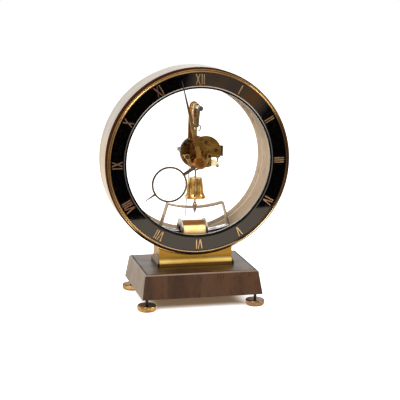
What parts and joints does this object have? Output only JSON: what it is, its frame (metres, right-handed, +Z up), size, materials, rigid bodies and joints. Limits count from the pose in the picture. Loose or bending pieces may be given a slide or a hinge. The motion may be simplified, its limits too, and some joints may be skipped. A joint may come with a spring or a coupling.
{
  "type": "table clock",
  "caption": "Pendulum table clock with a round open dial, a glass ring of numerals, a fluted bell bob, a swinging magnet over a coil and a wooden base on screw feet.",
  "frame": {"origin": "centre of the four feet on the surface the clock stands on", "axes": "+X to the right of the dial, +Y from the dial to the back, +Z up"},
  "size_m": [0.21, 0.111, 0.2659],
  "materials": {
    "walnut": "dark stained, gloss lacquer",
    "hoop_veneer": "polished veneer",
    "cover_fibre": "matt",
    "tray_plastic": "matt",
    "cell_jacket": "plain jacket",
    "spring_steel": "plated",
    "steel": "fine brushed",
    "screw_steel": "browned",
    "saddle_brass": "polished",
    "bezel_brass": "polished",
    "foot_brass": "polished",
    "black_steel": "black",
    "black_glass": "back painted black glass",
    "clear_glass": "clear",
    "tan_ring": "satin",
    "plate_brass": "brushed, warm",
    "cock_brass": "polished",
    "wheel_brass": "polished",
    "hand_brass": "polished",
    "hour_brass": "polished, copper coloured",
    "post_brass": "polished, pale",
    "dark_cap": "black",
    "cream_plastic": "smooth",
    "coil_wire": "lacquered copper",
    "black_plastic": "smooth",
    "pendulum_brass": "polished",
    "frame_brass": "brushed",
    "nut_copper": "copper coloured"
  },
  "bodies": {
    "case": {"base_body": "walnut", "hoop": "hoop_veneer", "base_cover": "cover_fibre", "battery_tray": "tray_plastic", "feed_bush": "tray_plastic", "coil_stand": "tray_plastic", "battery": "cell_jacket", "battery_contacts": "spring_steel", "case_screws": "steel", "carrier_studs": "steel", "feed_rod": "steel", "movement_screws": "screw_steel", "saddle": "saddle_brass", "bezel": "bezel_brass", "foot_bushes": "foot_brass", "chapter_ring": "black_glass", "rear_glass": "clear_glass", "rear_ring": "tan_ring", "glass_retainer": "tan_ring", "movement_cup": "plate_brass", "front_plate": "plate_brass", "movement_pillars": "plate_brass", "train_bridge": "plate_brass", "suspension_strap": "plate_brass", "front_cock": "cock_brass", "suspension_post": "post_brass", "terminal_posts": "post_brass", "post_cap": "dark_cap", "coil_bobbin": "cream_plastic", "terminal_arm": "cream_plastic", "coil_winding": "coil_wire", "contact_block": "black_plastic"},
    "pendulum": {"pendulum_hanger": "pendulum_brass", "pendulum_stirrup": "pendulum_brass", "pendulum_rod": "steel", "bell_bob": "pendulum_brass", "magnet_frame": "frame_brass", "magnet_bar": "steel", "contact_hook": "spring_steel"},
    "pawl": {"pawl": "wheel_brass"},
    "rating_nut": {"rating_nut": "nut_copper"},
    "click": {"click": "spring_steel"},
    "minute": {"cannon_pinion": "wheel_brass", "minute_hand": "hand_brass", "hand_nut": "hand_brass"},
    "minute_wheel": {"minute_wheel": "wheel_brass"},
    "hour": {"hour_wheel": "wheel_brass", "hour_hand": "hour_brass", "hour_hand_glass": "clear_glass"},
    "centre": {"centre_wheel": "wheel_brass"},
    "third": {"third_wheel": "wheel_brass"},
    "ratchet": {"ratchet_wheel": "wheel_brass"},
    "foot_front_left": {"foot_disc_front_left": "foot_brass", "foot_stud_front_left": "black_steel"},
    "foot_front_right": {"foot_disc_front_right": "foot_brass", "foot_stud_front_right": "black_steel"},
    "foot_back_left": {"foot_disc_back_left": "foot_brass", "foot_stud_back_left": "black_steel"},
    "foot_back_right": {"foot_disc_back_right": "foot_brass", "foot_stud_back_right": "black_steel"}
  },
  "joints": [
    {"name": "pendulum_swing", "type": "hinge", "parent": "case", "child": "pendulum", "pos_m": [0, -0.0065, 0.221], "axis": [0, 1, 0], "range_deg": [-2.5, 2.5]},
    {"name": "pawl_lift", "type": "hinge", "parent": "pendulum", "child": "pawl", "pos_m": [-0.007, -0.0014, 0.1845], "axis": [0, -1, 0], "range_deg": [0, 10]},
    {"name": "rating_nut_turn", "type": "hinge", "parent": "pendulum", "child": "rating_nut", "pos_m": [0, -0.0065, 0.1109], "axis": [0, 0, 1], "continuous": true},
    {"name": "minute_hand_turn", "type": "hinge", "parent": "case", "child": "minute", "pos_m": [0, -0.02, 0.1609], "axis": [0, 1, 0], "continuous": true},
    {"name": "minute_wheel_turn", "type": "hinge", "parent": "case", "child": "minute_wheel", "pos_m": [0, -0.015, 0.1705], "axis": [0, 1, 0], "continuous": true},
    {"name": "hour_hand_turn", "type": "hinge", "parent": "case", "child": "hour", "pos_m": [0, -0.02, 0.1609], "axis": [0, 1, 0], "continuous": true},
    {"name": "ratchet_turn", "type": "hinge", "parent": "case", "child": "ratchet", "pos_m": [-0.00005, -0.001, 0.17339], "axis": [0, 1, 0], "continuous": true},
    {"name": "third_wheel_turn", "type": "hinge", "parent": "case", "child": "third", "pos_m": [-0.00429, 0, 0.16833], "axis": [0, 1, 0], "continuous": true},
    {"name": "centre_wheel_turn", "type": "hinge", "parent": "case", "child": "centre", "pos_m": [0, 0, 0.1609], "axis": [0, 1, 0], "continuous": true},
    {"name": "click_lift", "type": "hinge", "parent": "case", "child": "click", "pos_m": [-0.0086, 0, 0.1801], "axis": [0, -1, 0], "range_deg": [0, 6]},
    {"name": "foot_front_left_height", "type": "slide", "parent": "case", "child": "foot_front_left", "axis": [0, 0, 1], "range_m": [-0.003, 0.004]},
    {"name": "foot_front_right_height", "type": "slide", "parent": "case", "child": "foot_front_right", "axis": [0, 0, 1], "range_m": [-0.003, 0.004]},
    {"name": "foot_back_left_height", "type": "slide", "parent": "case", "child": "foot_back_left", "axis": [0, 0, 1], "range_m": [-0.003, 0.004]},
    {"name": "foot_back_right_height", "type": "slide", "parent": "case", "child": "foot_back_right", "axis": [0, 0, 1], "range_m": [-0.003, 0.004]}
  ],
  "couplings": [
    {"joint": "minute_wheel_turn", "follows": "minute_hand_turn", "ratio": -0.33333},
    {"joint": "hour_hand_turn", "follows": "minute_hand_turn", "ratio": 0.083333},
    {"joint": "third_wheel_turn", "follows": "ratchet_turn", "ratio": -0.1},
    {"joint": "centre_wheel_turn", "follows": "ratchet_turn", "ratio": 0.0083333}
  ]
}
